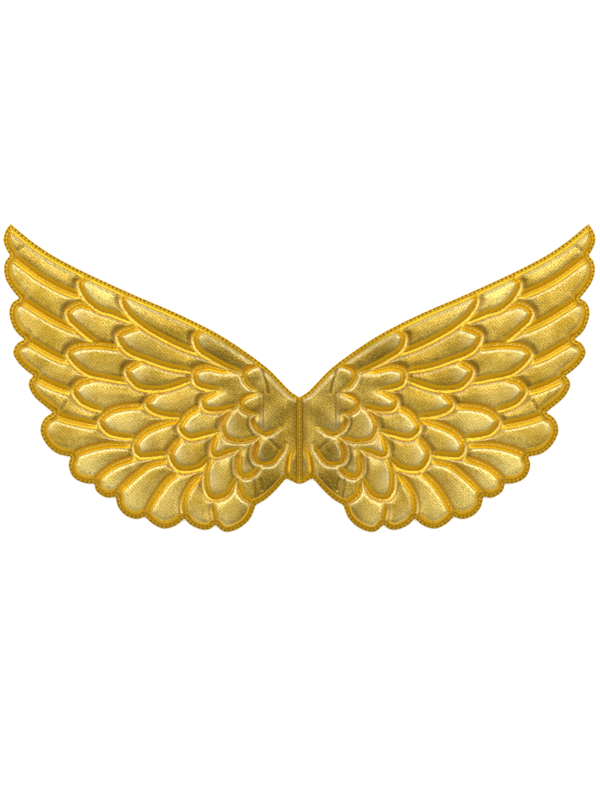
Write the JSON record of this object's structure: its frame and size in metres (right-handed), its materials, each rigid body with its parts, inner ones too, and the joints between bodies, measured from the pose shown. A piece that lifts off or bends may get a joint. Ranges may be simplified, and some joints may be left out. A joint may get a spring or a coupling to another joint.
{
  "type": "costume angel wings",
  "caption": "pair of flat padded costume wings in gold cloth, quilted into overlapping feathers, joined along a narrow stitched spine",
  "frame": {"origin": "middle of the bounding box in plan, on the flat back", "axes": "X along the span, Y up the wings towards the tips, Z out of the puffed front"},
  "size_m": [0.45, 0.234, 0.008],
  "materials": {
    "front_cloth": "shiny metallic woven cloth over soft filling",
    "back_cloth": "plain metallic woven cloth"
  },
  "bodies": {
    "root": {"left_wing_front": "front_cloth", "right_wing_front": "front_cloth", "left_wing_back": "back_cloth", "right_wing_back": "back_cloth", "spine_seam": "front_cloth"}
  },
  "joints": []
}
